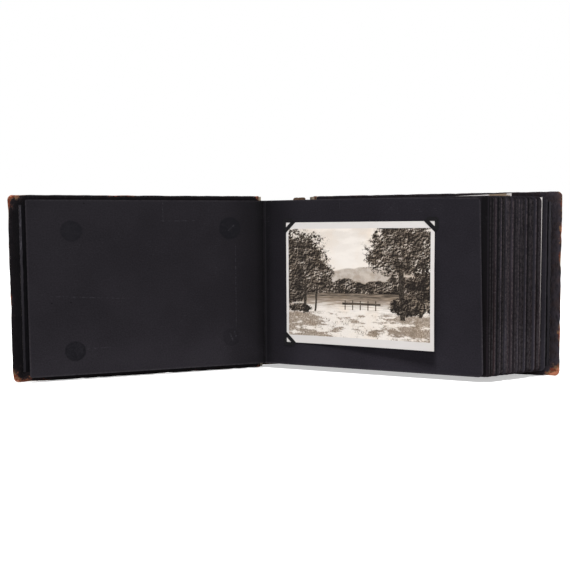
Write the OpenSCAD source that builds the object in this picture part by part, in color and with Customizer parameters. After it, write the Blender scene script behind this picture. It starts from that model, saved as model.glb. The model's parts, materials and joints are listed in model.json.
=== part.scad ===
/* [Leaves] */
// Width of an album leaf from its crease to the fore-edge
leaf_w = 191; // [150:1:240]
// Width of the first leaf, which was cut a little shorter
first_leaf_w = 186; // [140:1:191]
// Width of the front flyleaf from its crease
flyleaf_w = 193; // [150:1:196]
// Distance from the crease to the scored line on which the first leaf turns
score_x = 5; // [3:0.5:10]
// Height of every leaf
leaf_h = 140; // [120:1:200]
// Thickness of the leaf paper
leaf_t = 0.35; // [0.2:0.01:0.4]
// Radius of the rounded leaf corners
leaf_corner_r = 4; // [1:0.5:10]
// Width of the bound edge of a leaf, from the spine lining to the crease
stub_w = 13.7; // [12:0.1:24]
// Thickness of the paper guards between the bound edges
guard_t = 0.45; // [0.35:0.01:0.9]

/* [Covers] */
// Thickness of the grey board in the covers
board_t = 2; // [1.4:0.1:4]
// Thickness of the leather
leather_t = 0.5; // [0.3:0.05:0.9]
// Thickness of the paper pasted inside the covers
pastedown_t = 0.15; // [0.1:0.01:0.3]
// How far the covers pass the leaves at the head and at the tail
edge_square = 4; // [2:0.25:6]
// How far the covers pass the leaves at the fore-edge
fore_square = 8; // [3:0.5:12]
// Width of the leather turned in over the inside of the boards
turn_in = 8; // [4:0.5:16]
// Radius of the cover corners
cover_corner_r = 6.5; // [1:0.5:8]
// Width of the narrow board along the bound edge
binding_strip_w = 8.8; // [6:0.1:11]
// Width of the bare leather joint between the narrow board and the cover board
joint_w = 1.6; // [1.2:0.1:5]

/* [Spine] */
// Thickness of the card inside the spine
inlay_t = 1; // [0.5:0.1:2]
// Thickness of the cloth lining glued to the bound edges
lining_t = 0.3; // [0.2:0.05:0.6]
// Radius of the two long spine edges
spine_edge_r = 1.5; // [0.8:0.1:2.4]
// How far the spine card ends below the head of the leaves
inlay_short = 20; // [8:1:30]
// Diameter of the stitching wire
wire_d = 0.9; // [0.6:0.1:1.2]
// Distance from the outermost stitch to the end of the bound edge
stitch_inset = 24; // [15:1:40]

/* [Prints] */
// Long side of a print
print_long = 127; // [90:1:130]
// Short side of a print
print_short = 101.6; // [70:0.1:105]
// Thickness of a print
print_t = 0.2; // [0.12:0.01:0.22]
// Distance from the crease to the mounted print
print_inset = 20.5; // [12:0.5:40]
// Height of the mounted print above the foot of its leaf
print_foot = 19.5; // [8:0.5:30]
// Distance from a print's corner along its edge to the paper corner's band
corner_tip = 4; // [2:0.5:6]
// Width of the paper corner's band along the print's edge
corner_band = 4.5; // [3:0.5:8]
// How far a paper corner passes the print's edge
corner_lap = 3; // [1:0.5:5]
// Thickness of a paper corner's paper
corner_t = 0.15; // [0.1:0.01:0.2]
// How far the print tucked in near the middle stands above the leaves at its higher corner
top_print_rise = 2.4; // [0:0.1:12]
// Distance from the fore-edge to that corner
top_print_inset = 8; // [5:0.5:40]
// Tilt of that print, higher towards the fore-edge
top_print_lean = 2; // [0:0.1:4]
// How far the print tucked in near the back stands out of the fore-edge
side_print_rise = 0.6; // [0.2:0.1:6]
// Lean of the print tucked in near the back
side_print_lean = 0.2; // [0:0.1:3]
// Height of that print above the foot of the leaves
side_print_foot = 12.5; // [3:0.5:13]

/* [Opening] */
// Turn of the spine on the table, seen from above
spine_turn = 11; // [0:1:30]
// Opening of the front cover from its closed place
front_open = 82.7; // [60:0.1:95]
// Opening of the flyleaf from its closed place
flyleaf_open = 82.1; // [59:0.1:94]
// Opening of the back cover from its closed place
back_open = 61.1; // [50:0.1:62]
// Opening of the first leaf from its closed place
first_leaf_open = 55; // [40:0.1:57]
// Opening of the last leaf from its closed place
last_leaf_open = 61.5; // [58:0.1:62]

/* [Hidden] */
section_count = 16;
leaves_per_section = 3;
section_leaves = section_count * leaves_per_section;
closed_angle = -90;

// Clearances between pieces
glue_gap = 0.02;
stack_gap = 0.035;
flyleaf_gap = 0.2;
print_room = 1.2;
crease_gap = 0.7;
score_gap = 0.25;
stub_gap = 0.3;
fold_gap = 0.4;
wire_gap = 0.05;
foot_gap = edge_square;

// Places across the thickness, counted from the middle of the spine
leaf_pitch = leaf_t + guard_t + 2 * stack_gap;
block_t = 2 * flyleaf_gap + 2 * leaf_t + print_room + (section_leaves + 1) * leaf_pitch;
cover_t = pastedown_t + board_t + leather_t;
flyleaf_u = flyleaf_gap - block_t / 2;
first_leaf_u = flyleaf_u + leaf_t + print_room;
fold_u = block_t / 2 + cover_t - leather_t / 2;
spine_half = block_t / 2 + cover_t;

// Depths from the middle of the spine leather towards the fore-edge
inlay_v = leather_t / 2 + glue_gap;
lining_v = inlay_v + inlay_t + glue_gap;
stub_v = lining_v + lining_t + glue_gap;
crease_v = stub_v + stub_w + stub_gap;
strip_v = lining_v;
fold_v = strip_v + binding_strip_w + fold_gap;
cover_edge_w = crease_v + leaf_w + fore_square - fold_v;
board_edge = joint_w + fold_gap / 2;
cover_h = leaf_h + 2 * edge_square;
strip_h = cover_h - 2 * leather_t - 2 * glue_gap;

// Torn head of the spine: across the spine from its middle, and height from the floor
tear_floor = cover_h + 2;
head_front_tear = [
    [-spine_half - 2, tear_floor], [-spine_half - 2, cover_h - 17], [-spine_half + 3, cover_h - 15],
    [-16, cover_h - 21], [-12, cover_h - 13], [-6, cover_h - 10], [-1, cover_h - 15], [4, cover_h - 8],
    [7.5, cover_h - 4], [8.2, tear_floor]
];
head_back_tear = [
    [18.6, tear_floor], [19.3, cover_h - 4], [21, cover_h - 9], [spine_half - 2, cover_h - 7],
    [spine_half + 2, cover_h - 10], [spine_half + 2, tear_floor]
];

inlay_h = leaf_h - inlay_short;
stitch_rise = [stitch_inset, leaf_h / 2, leaf_h - stitch_inset];
stitch_v = stub_v + stub_w / 2;
corner_reach = corner_tip + corner_band;

function leaf_open(j) = first_leaf_open + (last_leaf_open - first_leaf_open) * j / section_leaves;
function leaf_u(j) = first_leaf_u + j * leaf_pitch;

// Puts a piece at a fold line: u across the spine, v towards the fore-edge, turned from closed
module at_fold(u, v, turn) {
    rotate([0, 0, spine_turn]) translate([u, -v, 0]) rotate([0, 0, closed_angle + turn]) children();
}

// Upright sheet from x = start to x = end, with rounded corners at its end and its thickness along +y
module sheet(start, end, height, thickness, corner_r) {
    translate([0, thickness, 0]) rotate([90, 0, 0]) linear_extrude(thickness) union() {
        translate([start, 0]) square([end - start - corner_r, height]);
        translate([start, corner_r]) square([end - start, height - 2 * corner_r]);
        translate([end - corner_r, corner_r]) circle(corner_r, $fn = 48);
        translate([end - corner_r, height - corner_r]) circle(corner_r, $fn = 48);
    }
}

// Upright block across the spine, from u to u + width and from depth v to v + depth
module spine_block(u, v, width, depth, foot, height) {
    rotate([0, 0, spine_turn]) translate([u, -v - depth, foot]) cube([width, depth, height]);
}

// One leaf on its crease, from x = start
module leaf(j, start, width) {
    at_fold(leaf_u(j), crease_v, leaf_open(j))
        translate([0, 0, foot_gap]) sheet(start, width, leaf_h, leaf_t, leaf_corner_r);
}

module leaf_section(number) {
    first = (number - 1) * leaves_per_section + 1;
    color("#2b2829") for (j = [first:first + leaves_per_section - 1]) leaf(j, crease_gap, leaf_w);
}

// Bound edge with its holes for the wires, from u to u + thickness
module bound_strip(u, thickness) {
    rotate([0, 0, spine_turn]) difference() {
        translate([u, -stub_v - stub_w, foot_gap]) cube([thickness, stub_w, leaf_h]);
        for (rise = stitch_rise) {
            translate([u - 1, -stitch_v, foot_gap + rise]) rotate([0, 90, 0])
                cylinder(d = wire_d + 2 * wire_gap, h = thickness + 2, $fn = 24);
        }
    }
}

module leaf_stubs() {
    color("#2b2829") {
        bound_strip(flyleaf_u, leaf_t);
        for (j = [0:section_leaves + 1]) bound_strip(leaf_u(j), leaf_t);
    }
}

module stub_guards() {
    color("#4a4243") {
        bound_strip(flyleaf_u + leaf_t + stack_gap, print_room - 2 * stack_gap);
        for (j = [0:section_leaves]) bound_strip(leaf_u(j) + leaf_t + stack_gap, guard_t);
    }
}

module stitch_wires() {
    length = block_t - 2 * glue_gap;
    color("silver") rotate([0, 0, spine_turn]) for (rise = stitch_rise) {
        translate([-length / 2, -stitch_v, foot_gap + rise]) rotate([0, 90, 0])
            cylinder(d = wire_d, h = length, $fn = 24);
    }
}

// Outline of the spine and its two sides seen from above, grown outwards by the given amount
module spine_outline(half, back, front, edge_r) {
    union() {
        translate([-half, -front]) square([2 * half, front - edge_r + back]);
        translate([-half + edge_r, -front]) square([2 * (half - edge_r), front + back]);
        for (side = [-1, 1]) {
            translate([side * (half - edge_r), back - edge_r]) circle(edge_r, $fn = 48);
        }
    }
}

module head_tear(points) {
    reach = leather_t + spine_edge_r + 4;
    translate([0, reach, 0]) rotate([90, 0, 0]) linear_extrude(2 * reach) polygon(points);
}

module spine_leather() {
    inner_half = spine_half - leather_t;
    color("#1f1a1a") rotate([0, 0, spine_turn]) difference() {
        linear_extrude(cover_h) spine_outline(spine_half, leather_t / 2, fold_v - fold_gap, spine_edge_r);
        translate([0, 0, -1]) linear_extrude(cover_h + 2)
            spine_outline(inner_half, -leather_t / 2, fold_v + 1, spine_edge_r - leather_t);
        head_tear(head_front_tear);
        head_tear(head_back_tear);
    }
}

module spine_inlay() {
    color("#8a7a63")
        spine_block(-block_t / 2, inlay_v, block_t, inlay_t, foot_gap, inlay_h);
}

module spine_lining() {
    color("#b8ab90")
        spine_block(-block_t / 2, lining_v, block_t, lining_t, foot_gap, leaf_h);
}

module binding_strip(side) {
    centre = side * (block_t / 2 + pastedown_t + board_t / 2);
    color("#8a8478") spine_block(
        centre - board_t / 2 + glue_gap, strip_v, board_t - 2 * glue_gap, binding_strip_w,
        leather_t + glue_gap, strip_h
    );
}

// A cover lies in its own frame: x from the fold to the fore-edge and y from the outer face inwards
module board_core() {
    translate([0, leather_t / 2 + glue_gap, leather_t + glue_gap])
        sheet(board_edge, cover_edge_w - leather_t - glue_gap, strip_h, board_t - 2 * glue_gap, cover_corner_r);
}

module cover_skin() {
    pocket_end = cover_edge_w - leather_t;
    window_end = cover_edge_w - turn_in;
    difference() {
        translate([0, -leather_t / 2, 0])
            sheet(board_edge, cover_edge_w, cover_h, cover_t, cover_corner_r);
        translate([0, leather_t / 2, leather_t])
            sheet(board_edge - 1, pocket_end, cover_h - 2 * leather_t, board_t, cover_corner_r);
        translate([board_edge - 1, leather_t, turn_in])
            cube([window_end - board_edge + 1, cover_t, cover_h - 2 * turn_in]);
    }
}

module cover_paper() {
    translate([board_edge + glue_gap, leather_t / 2 + board_t, turn_in + glue_gap])
        cube([cover_edge_w - turn_in - board_edge - 2 * glue_gap, pastedown_t, cover_h - 2 * turn_in - 2 * glue_gap]);
}

module joint_strip() {
    translate([fold_gap / 2, -leather_t / 2, 0])
        cube([joint_w - 1.5 * fold_gap, leather_t, cover_h]);
}

module on_front_cover() {
    at_fold(-fold_u, fold_v, -front_open) children();
}

module on_back_cover() {
    at_fold(fold_u, fold_v, back_open) mirror([0, 1, 0]) children();
}

module front_board() { color("#8a8478") on_front_cover() board_core(); }
module front_cover_leather() { color("#1c1717") on_front_cover() cover_skin(); }
module front_pastedown() { color("#2b2829") on_front_cover() cover_paper(); }
module front_joint_leather() { color("#3a2620") on_front_cover() joint_strip(); }
module back_board() { color("#8a8478") on_back_cover() board_core(); }
module back_cover_leather() { color("#1c1717") on_back_cover() cover_skin(); }
module back_pastedown() { color("#2b2829") on_back_cover() cover_paper(); }
module back_joint_leather() { color("#3a2620") on_back_cover() joint_strip(); }
module front_binding_strip() { binding_strip(-1); }
module back_binding_strip() { binding_strip(1); }

module flyleaf() {
    color("#2b2829") at_fold(flyleaf_u, crease_v, -flyleaf_open)
        translate([0, 0, foot_gap]) sheet(crease_gap, flyleaf_w, leaf_h, leaf_t, leaf_corner_r);
}

module first_leaf_strip() {
    leaf_colour() at_fold(leaf_u(0), crease_v, leaf_open(0)) translate([crease_gap, 0, foot_gap])
        cube([score_x - score_gap - crease_gap, leaf_t, leaf_h]);
}

module first_leaf() { leaf_colour() leaf(0, score_x + score_gap, first_leaf_w); }
module back_flyleaf() { leaf_colour() leaf(section_leaves + 1, crease_gap, leaf_w); }
module leaf_colour() { color("#2b2829") children(); }

// Face of the first leaf: x from the crease, y away from the paper, z from the floor
module on_first_page() {
    at_fold(leaf_u(0), crease_v, leaf_open(0)) mirror([0, 1, 0])
        translate([print_inset, 0, foot_gap + print_foot]) children();
}

module print_sheet(width, height, thickness) {
    cube([width, thickness, height]);
}

module mounted_print() {
    color("#b9a98c") on_first_page() translate([0, corner_t + 2 * glue_gap, 0])
        print_sheet(print_long, print_short, print_t);
}

// Paper corner round a print's corner at the origin, with the print's tip bare in its window
module photo_corner() {
    pocket = print_t + 2 * glue_gap;
    depth = 2 * corner_t + pocket;
    lap = corner_lap;
    difference() {
        translate([0, depth + glue_gap, 0]) rotate([90, 0, 0]) linear_extrude(depth) polygon([
            [-lap, -lap / 2], [-lap / 2, -lap], [corner_tip + lap / 2, -lap], [corner_reach, 0],
            [0, corner_reach], [-lap, corner_tip + lap / 2]
        ]);
        translate([-glue_gap, glue_gap + corner_t, -glue_gap])
            cube([corner_reach + lap, pocket, corner_reach + lap]);
        translate([0, depth + 1, 0]) rotate([90, 0, 0]) linear_extrude(corner_t + 1)
            polygon([[0, 0], [corner_tip, 0], [0, corner_tip]]);
    }
}

module photo_corners() {
    color("#171515") on_first_page() {
        photo_corner();
        translate([0, 0, print_short]) mirror([0, 0, 1]) photo_corner();
        translate([print_long, 0, print_short]) mirror([0, 0, 1]) mirror([1, 0, 0]) photo_corner();
    }
}

// A loose print between leaf j and the next one, halfway between their planes
module between_leaves(j) {
    middle = (leaf_pitch * cos(leaf_open(j)) - leaf_t) / 2;
    at_fold(leaf_u(j), crease_v, (leaf_open(j) + leaf_open(j + 1)) / 2)
        translate([0, leaf_t + middle - print_t / 2, foot_gap]) children();
}

top_print_leaf = 9 * leaves_per_section;
side_print_leaf = 15 * leaves_per_section;

module top_loose_print() {
    color("#cfc4ae") between_leaves(top_print_leaf)
        translate([leaf_w - top_print_inset, 0, leaf_h + top_print_rise]) rotate([0, -top_print_lean, 0])
            translate([-print_short, 0, -print_long]) print_sheet(print_short, print_long, print_t);
}

module side_loose_print() {
    color("#cfc4ae") between_leaves(side_print_leaf)
        translate([leaf_w + side_print_rise - print_short, 0, side_print_foot])
            rotate([0, side_print_lean, 0]) print_sheet(print_short, print_long, print_t);
}

spine_leather();
spine_inlay();
spine_lining();
front_binding_strip();
back_binding_strip();
leaf_stubs();
stub_guards();
stitch_wires();
front_joint_leather();
front_board();
front_cover_leather();
front_pastedown();
back_joint_leather();
back_board();
back_cover_leather();
back_pastedown();
flyleaf();
first_leaf_strip();
first_leaf();
mounted_print();
photo_corners();
leaf_section(1);  // leaf_section_01
leaf_section(2);  // leaf_section_02
leaf_section(3);  // leaf_section_03
leaf_section(4);  // leaf_section_04
leaf_section(5);  // leaf_section_05
leaf_section(6);  // leaf_section_06
leaf_section(7);  // leaf_section_07
leaf_section(8);  // leaf_section_08
leaf_section(9);  // leaf_section_09
leaf_section(10);  // leaf_section_10
leaf_section(11);  // leaf_section_11
leaf_section(12);  // leaf_section_12
leaf_section(13);  // leaf_section_13
leaf_section(14);  // leaf_section_14
leaf_section(15);  // leaf_section_15
leaf_section(16);  // leaf_section_16
back_flyleaf();
top_loose_print();
side_loose_print();
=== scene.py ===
import json
import math
import random

import bmesh
import bpy
import numpy as np
from mathutils import Matrix, Vector, noise


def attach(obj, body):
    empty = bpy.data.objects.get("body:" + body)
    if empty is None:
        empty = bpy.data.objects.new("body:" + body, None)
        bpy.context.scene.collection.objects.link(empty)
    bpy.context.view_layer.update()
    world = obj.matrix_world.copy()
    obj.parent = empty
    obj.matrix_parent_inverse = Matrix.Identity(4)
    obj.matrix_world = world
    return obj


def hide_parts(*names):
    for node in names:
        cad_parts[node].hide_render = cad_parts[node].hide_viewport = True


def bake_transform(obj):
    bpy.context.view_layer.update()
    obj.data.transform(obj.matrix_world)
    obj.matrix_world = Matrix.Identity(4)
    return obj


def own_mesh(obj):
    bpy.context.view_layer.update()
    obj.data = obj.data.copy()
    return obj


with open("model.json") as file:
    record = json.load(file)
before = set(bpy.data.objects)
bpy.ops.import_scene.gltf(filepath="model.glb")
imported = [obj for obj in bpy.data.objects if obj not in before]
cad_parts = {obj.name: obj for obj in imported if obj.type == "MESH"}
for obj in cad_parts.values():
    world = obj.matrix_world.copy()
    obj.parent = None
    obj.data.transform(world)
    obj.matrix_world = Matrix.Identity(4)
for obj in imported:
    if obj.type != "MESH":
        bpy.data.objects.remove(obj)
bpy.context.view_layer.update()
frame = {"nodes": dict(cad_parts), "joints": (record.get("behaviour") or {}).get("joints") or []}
random.seed(11)
tiny = 1e-5

# places taken from the frame
joints = {joint["name"]: joint for joint in frame["joints"]}
leadingJoint = "section_16_turn"  # the others that close the album follow it
followerSpare = 0.01  # degrees that a following joint's range has beyond its travel


def jointPlace(name):
    return Vector(joints[name]["pos_m"])


def turnFromClosed(name):  # opening at rest, seen from the closed album, in degrees
    travel = max(joints[name]["range_deg"], key=abs)
    if name != leadingJoint:
        travel -= followerSpare
    return -travel * joints[name]["axis"][2]


spineAcross = jointPlace("back_joint_fold") - jointPlace("front_joint_fold")
spineTurn = math.atan2(spineAcross.y, spineAcross.x)


def foldMatrix(place, turn):  # x along the sheet, y through it, z up
    angle = spineTurn + math.radians(turn - 90)
    return Matrix.Translation(place) @ Matrix.Rotation(angle, 4, "Z")


def jointMatrix(name):
    return foldMatrix(jointPlace(name), turnFromClosed(name))


# small helpers for modelling
def setMode(mode):
    bpy.ops.object.mode_set(mode=mode)


def clearSelection():
    if bpy.context.object and bpy.context.object.mode != "OBJECT":
        setMode("OBJECT")
    bpy.ops.object.select_all(action="DESELECT")


def pick(piece, test, kind="VERT"):  # selects by place in edit mode
    bpy.ops.mesh.select_mode(type=kind)
    bpy.ops.mesh.select_all(action="DESELECT")
    shape = bmesh.from_edit_mesh(piece.data)
    for item in {"VERT": shape.verts, "EDGE": shape.edges, "FACE": shape.faces}[kind]:
        if test(item):
            item.select_set(True)
    shape.select_flush_mode()
    bmesh.update_edit_mesh(piece.data)


def addObject(name, data):
    piece = bpy.data.objects.new(name, data)
    bpy.context.scene.collection.objects.link(piece)
    return piece


def readPoints(mesh):
    points = np.zeros(len(mesh.vertices) * 3)
    mesh.vertices.foreach_get("co", points)
    return points.reshape(-1, 3)


def writePoints(mesh, points):
    mesh.vertices.foreach_set("co", np.asarray(points, np.float32).ravel())
    mesh.update()


def writeMask(mesh, name, values, domain="POINT"):
    attribute = mesh.attributes.get(name) or mesh.attributes.new(name, "FLOAT", domain)
    attribute.data.foreach_set("value", np.asarray(values, np.float32))


def applyModifier(piece, kind, **settings):
    bpy.context.view_layer.objects.active = piece
    modifier = piece.modifiers.new(kind.lower(), kind)
    for key, value in settings.items():
        setattr(modifier, key, value)
    bpy.ops.object.modifier_apply(modifier=modifier.name)


def addGrid(name, start, end, high, columns, rows):  # upright grid in x and z, from z = 0 up, that faces -y
    clearSelection()
    bpy.ops.mesh.primitive_grid_add(
        x_subdivisions=columns, y_subdivisions=rows, size=1,
        location=((start + end) / 2, 0, high / 2), rotation=(math.pi / 2, 0, 0),
    )
    piece = bpy.context.object
    piece.name = piece.data.name = name
    piece.scale = (end - start, high, 1)
    bpy.ops.object.transform_apply(location=True, rotation=True, scale=True)
    return piece


def turnNormals(skin, wrongWay):  # makes the normals agree, then flips them if the test says so
    setMode("EDIT")
    bpy.ops.mesh.select_all(action="SELECT")
    bpy.ops.mesh.normals_make_consistent(inside=False)
    setMode("OBJECT")
    if wrongWay(skin.data.polygons):
        setMode("EDIT")
        bpy.ops.mesh.flip_normals()
        setMode("OBJECT")


def unwrapFlat(piece):  # UV map in real lengths
    points = readPoints(piece.data)
    layer = piece.data.uv_layers.get("UVMap") or piece.data.uv_layers.new(name="UVMap")
    corners = np.zeros(len(piece.data.loops), int)
    piece.data.loops.foreach_get("vertex_index", corners)
    layer.data.foreach_set("uv", points[corners][:, [0, 2]].astype(np.float32).ravel())


def smooth(value):
    value = np.clip(value, 0, 1)
    return value * value * (3 - 2 * value)


def fading(away, reach):  # 1 right there, falling off over the reach
    return np.exp(-np.maximum(away, 0) / reach)


def noiseAt(points, scale, seed=0.0):  # one noise value for each point, about -1 to 1
    return np.array([noise.noise(Vector(p) * scale + Vector((seed, seed * 0.7, 0))) for p in points])


def shadeSmooth(piece, angle=35):
    clearSelection()
    piece.select_set(True)
    bpy.context.view_layer.objects.active = piece
    bpy.ops.object.shade_smooth_by_angle(angle=math.radians(angle))


def setMaterials(piece, *materials):
    piece.data.materials.clear()
    for material in materials:
        piece.data.materials.append(material)


# small helpers for materials
class Signal:  # a node's output, which takes + - * / and abs() as shader maths
    def __init__(self, socket):
        self.socket = socket
        self.tree = socket.id_data

    def __add__(self, other):
        return calc("ADD", self, other)

    def __sub__(self, other):
        return calc("SUBTRACT", self, other)

    def __rsub__(self, other):
        return calc("SUBTRACT", other, self)

    def __mul__(self, other):
        return calc("MULTIPLY", self, other)

    def __truediv__(self, other):
        return calc("DIVIDE", self, other)

    def __abs__(self):
        return calc("ABSOLUTE", self)

    __radd__, __rmul__ = __add__, __mul__


class Outputs:  # a node's outputs, each read as a Signal
    def __init__(self, node):
        self.sockets = node.outputs

    def __getitem__(self, key):
        return Signal(self.sockets[key])


def paint(red, green, blue):  # a screen colour from 0 to 255, as the linear colour that a shader takes
    def linear(value):
        value /= 255
        return value / 12.92 if value <= 0.04045 else ((value + 0.055) / 1.055) ** 2.4
    return (linear(red), linear(green), linear(blue), 1)


def feed(sockets, values):  # links signals and sets plain values
    for key, value in values.items():
        if isinstance(value, Signal):
            value.tree.links.new(value.socket, sockets[key])
        else:
            sockets[key].default_value = value


def treeOf(*values):
    return next(value.tree for value in values if isinstance(value, Signal))


def addNode(tree, kind, values=None, **settings):
    node = tree.nodes.new("ShaderNode" + kind)
    for key, value in settings.items():
        setattr(node, key, value)
    feed(node.inputs, values or {})
    return Outputs(node)


def calc(operation, *values, clamp=False):
    return addNode(treeOf(*values), "Math", dict(enumerate(values)), operation=operation, use_clamp=clamp)[0]


def larger(first, second):
    return calc("MAXIMUM", first, second)


def smaller(first, second):
    return calc("MINIMUM", first, second)


def largest(signals):
    total = signals[0]
    for signal in signals[1:]:
        total = larger(total, signal)
    return total


def mixValue(factor, first, second):
    return addNode(treeOf(factor), "Mix", {0: factor, 2: first, 3: second}, data_type="FLOAT")[0]


def mixColour(factor, first, second, kind="MIX"):
    values = {0: factor, 6: first, 7: second}
    return addNode(treeOf(factor, first, second), "Mix", values, data_type="RGBA", blend_type=kind)[2]


def tint(first, second):
    return mixColour(1.0, first, second, "MULTIPLY")


def grey(tone):
    return addNode(tone.tree, "CombineColor", {0: tone, 1: tone, 2: tone})[0]


def between(value, low, high, atLow=0.0, atHigh=1.0):  # smooth step from low to high
    values = {"Value": value, "From Min": low, "From Max": high, "To Min": atLow, "To Max": atHigh}
    return addNode(value.tree, "MapRange", values, interpolation_type="SMOOTHSTEP")[0]


def noiseNode(vector, scale, detail=2.0, roughness=0.5, distortion=0.0, output=0):
    values = {"Vector": vector, "Scale": scale, "Detail": detail, "Roughness": roughness, "Distortion": distortion}
    return addNode(vector.tree, "TexNoise", values)[output]


def vectorMath(operation, first, values, output=0):
    return addNode(first.tree, "VectorMath", {0: first, **values}, operation=operation)[output]


def distance(place, point):
    return vectorMath("DISTANCE", place, {1: point}, "Value")


def stretch(vector, scale, shift=(0, 0, 0)):
    return addNode(vector.tree, "Mapping", {"Vector": vector, "Scale": scale, "Location": shift})[0]


def split(vector):
    parts = addNode(vector.tree, "SeparateXYZ", {0: vector})
    return parts[0], parts[1], parts[2]


def combine(x=0.0, y=0.0, z=0.0):
    return addNode(treeOf(x, y, z), "CombineXYZ", {0: x, 1: y, 2: z})[0]


def newGroup(name, inputs, outputs):  # an input without a default is a vector, and the outputs are values
    tree = bpy.data.node_groups.new(name, "ShaderNodeTree")
    for label, default in inputs.items():
        kind = "NodeSocketVector" if default is None else "NodeSocketFloat"
        socket = tree.interface.new_socket(label, in_out="INPUT", socket_type=kind)
        if default is not None:
            socket.default_value = default
    for label in outputs:
        tree.interface.new_socket(label, in_out="OUTPUT", socket_type="NodeSocketFloat")
    return tree, Outputs(tree.nodes.new("NodeGroupInput")), tree.nodes.new("NodeGroupOutput").inputs


def useGroup(group, values):
    return addNode(treeOf(*values.values()), "Group", values, node_tree=group)


def newMaterial(name, **values):
    material = bpy.data.materials.new(name)
    material.use_nodes = True
    shader = material.node_tree.nodes["Principled BSDF"]
    feed(shader.inputs, {key.replace("_", " "): value for key, value in values.items()})
    return material, material.node_tree, shader.inputs


def readMask(tree, name):
    return addNode(tree, "Attribute", attribute_name=name)["Fac"]


def uvPlace(tree):
    return addNode(tree, "UVMap", uv_map="UVMap")[0]


def objectPlace(tree):
    return addNode(tree, "TexCoord")["Object"]


# shared effects
def makePaperGroup():
    tree, source, result = newGroup("paperSurface", {"Vector": None, "Scuffs": 0.5}, ("Shade", "Scuff", "Height"))
    vector = source["Vector"]
    cloud = noiseNode(vector, 26, 3, 0.55)
    fleck = noiseNode(vector, 850, 3, 0.7)
    fibre = noiseNode(stretch(vector, (1, 2.4, 1)), 520, 4, 0.65, 0.6)
    shade = between(cloud, 0.3, 0.7, -0.09, 0.09) + between(fleck, 0.3, 0.72, -0.16, 0.2)
    across = noiseNode(stretch(vector, (9, 420, 9)), 1, 3, 0.6, 0.15)
    upright = noiseNode(stretch(vector, (380, 10, 10), (3, 1, 0)), 1, 3, 0.6, 0.15)
    patch = noiseNode(stretch(vector, (1, 1, 1), (5, 2, 0)), 34, 2, 0.5)
    lines = larger(between(across, 0.66, 0.78), between(upright, 0.68, 0.8)) * between(patch, 0.5, 0.66)
    rubbed = between(fibre, 0.5, 0.75) * between(patch, 0.55, 0.75, 0, 0.6)
    scuff = calc("MULTIPLY", larger(lines, rubbed), source["Scuffs"], clamp=True)
    feed(result, {"Shade": shade + 1.0, "Scuff": scuff, "Height": fibre * 0.7 + fleck * 0.3})
    return tree


def makeLeatherGroup():
    tree, source, result = newGroup("leatherGrain", {"Vector": None, "Scale": 900.0}, ("Height", "Hollow", "Shade"))
    vector, scale = source["Vector"], source["Scale"]
    drift = vectorMath("SCALE", noiseNode(vector, 420, output="Color"), {3: 0.0011})
    bent = vectorMath("ADD", vector, {1: drift})
    cells = {"Vector": bent, "Scale": scale, "Randomness": 0.9}
    pebble = addNode(tree, "TexVoronoi", cells, feature="DISTANCE_TO_EDGE")["Distance"]
    fine = noiseNode(vector, scale * 3.2, 3, 0.6)
    wrinkle = noiseNode(stretch(vector, (1, 1, 2.2)), 120, 3, 0.6, 1.2)
    feed(result, {
        "Height": between(pebble, 0.0, 0.32) * 0.6 + fine * 0.2 + wrinkle * 0.5,
        "Hollow": between(pebble, 0.02, 0.16, 1, 0),
        "Shade": between(noiseNode(vector, 45, 3, 0.6), 0.3, 0.72, 0.75, 1.3),
    })
    return tree


def makeWearGroup():
    tree, source, result = newGroup(
        "edgeWear", {"Vector": None, "Wear": 0.0, "Amount": 1.0}, ("Worn", "Bare", "Dusty"))
    vector = source["Vector"]
    rough = (noiseNode(vector, 140, 4, 0.65) - 0.5) * 1.5 + (noiseNode(vector, 900, 4, 0.7) - 0.5) * 0.8
    level = source["Wear"] * source["Amount"] + rough
    feed(result, {
        "Worn": between(level, 0.5, 0.68),
        "Bare": between(level, 0.86, 1.05),
        "Dusty": between(level, 0.2, 0.6, 0, 0.5),
    })
    return tree


def makeDustGroup():
    tree, source, result = newGroup("dustSpecks", {"Vector": None, "Density": 0.3}, ("Mask",))
    specks = addNode(tree, "TexVoronoi", {"Vector": source["Vector"], "Scale": 420, "Randomness": 1})
    size = between(specks["Distance"], 0.06, 0.16, 1, 0)
    chance = addNode(tree, "SeparateColor", {0: specks["Color"]})[0]
    feed(result, {"Mask": size * calc("LESS_THAN", chance, source["Density"])})
    return tree


viewSettings = {  # places in tenths of a metre from the print's lower left corner
    "trunks": [  # across, lean, half width, foot, top
        (1.03, -0.05, 0.024, 0.22, 0.72), (1.15, 0.05, 0.015, 0.25, 0.7),
        (0.16, 0.03, 0.014, 0.26, 0.6), (0.24, 0.08, 0.009, 0.27, 0.6),
    ],
    "crowns": [  # across, height, half width, half height, raggedness, brightness
        (0.12, 0.7, 0.25, 0.25, 1.2, 0.85), (0.32, 0.57, 0.11, 0.13, 1.4, 1.1), (0.05, 0.42, 0.14, 0.09, 1.3, 0.65),
        (1.04, 0.8, 0.31, 0.24, 1.2, 0.95), (0.82, 0.72, 0.12, 0.11, 1.5, 1.25), (1.2, 0.5, 0.17, 0.14, 1.3, 0.6),
        (1.08, 0.33, 0.2, 0.07, 1.2, 0.55), (0.12, 0.3, 0.1, 0.04, 1.4, 0.7),
    ],
    "hills": (1.7, 0.62, 0.3, 3, 1.3), "woods": (3.1, 0.545, 0.22, 6, 4.1), "meadow": (1.9, 0.285, 0.13, 5, 8.7),
    "waterLine": 0.43, "jettyEnds": (0.5, 0.83), "deckHeight": 0.345, "legSpacing": 0.033,
}


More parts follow.
